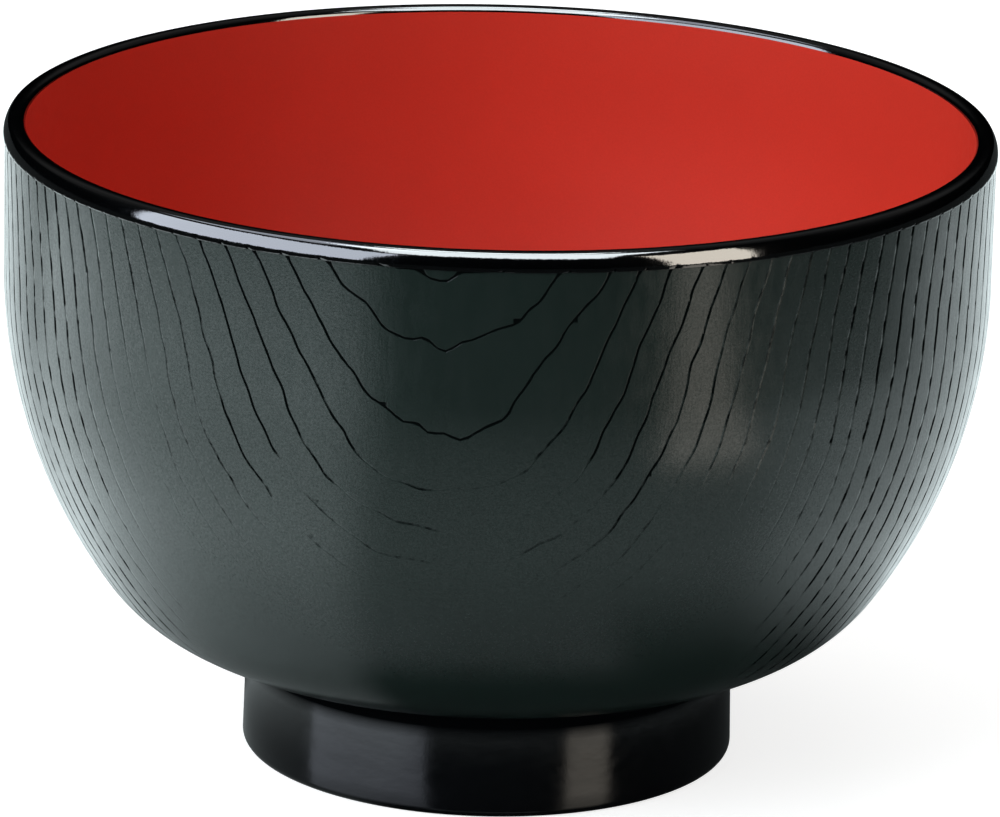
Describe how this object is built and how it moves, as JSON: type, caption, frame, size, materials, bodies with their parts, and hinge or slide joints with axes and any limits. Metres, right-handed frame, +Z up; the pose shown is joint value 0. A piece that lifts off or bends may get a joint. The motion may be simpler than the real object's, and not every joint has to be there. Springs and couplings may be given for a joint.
{
  "type": "lacquered soup bowl",
  "caption": "Round deep wooden soup bowl on a tall foot ring, black lacquer with wood grain outside, smooth black rim and foot, vermilion lacquer inside.",
  "frame": {"origin": "centre of the foot ring, on the floor plane", "axes": "+Z up along the turning axis, the pictured side faces -Y"},
  "size_m": [0.115, 0.115, 0.0753],
  "materials": {
    "wood": "turned bare wood, hidden under the lacquer",
    "rim_hemp": "lacquer-soaked woven hemp, hidden",
    "foot_hemp": "lacquer-soaked woven hemp, hidden",
    "outer_black": "satin black lacquer with open wood grain",
    "rim_black": "smooth glossy black lacquer",
    "foot_black": "smooth half-gloss black lacquer",
    "base_black": "smooth half-gloss black lacquer",
    "vermilion": "satin vermilion lacquer"
  },
  "bodies": {
    "root": {"wood_core": "wood", "rim_cloth": "rim_hemp", "foot_cloth": "foot_hemp", "outer_lacquer": "outer_black", "rim_lacquer": "rim_black", "foot_lacquer": "foot_black", "base_lacquer": "base_black", "inner_lacquer": "vermilion"}
  },
  "joints": []
}
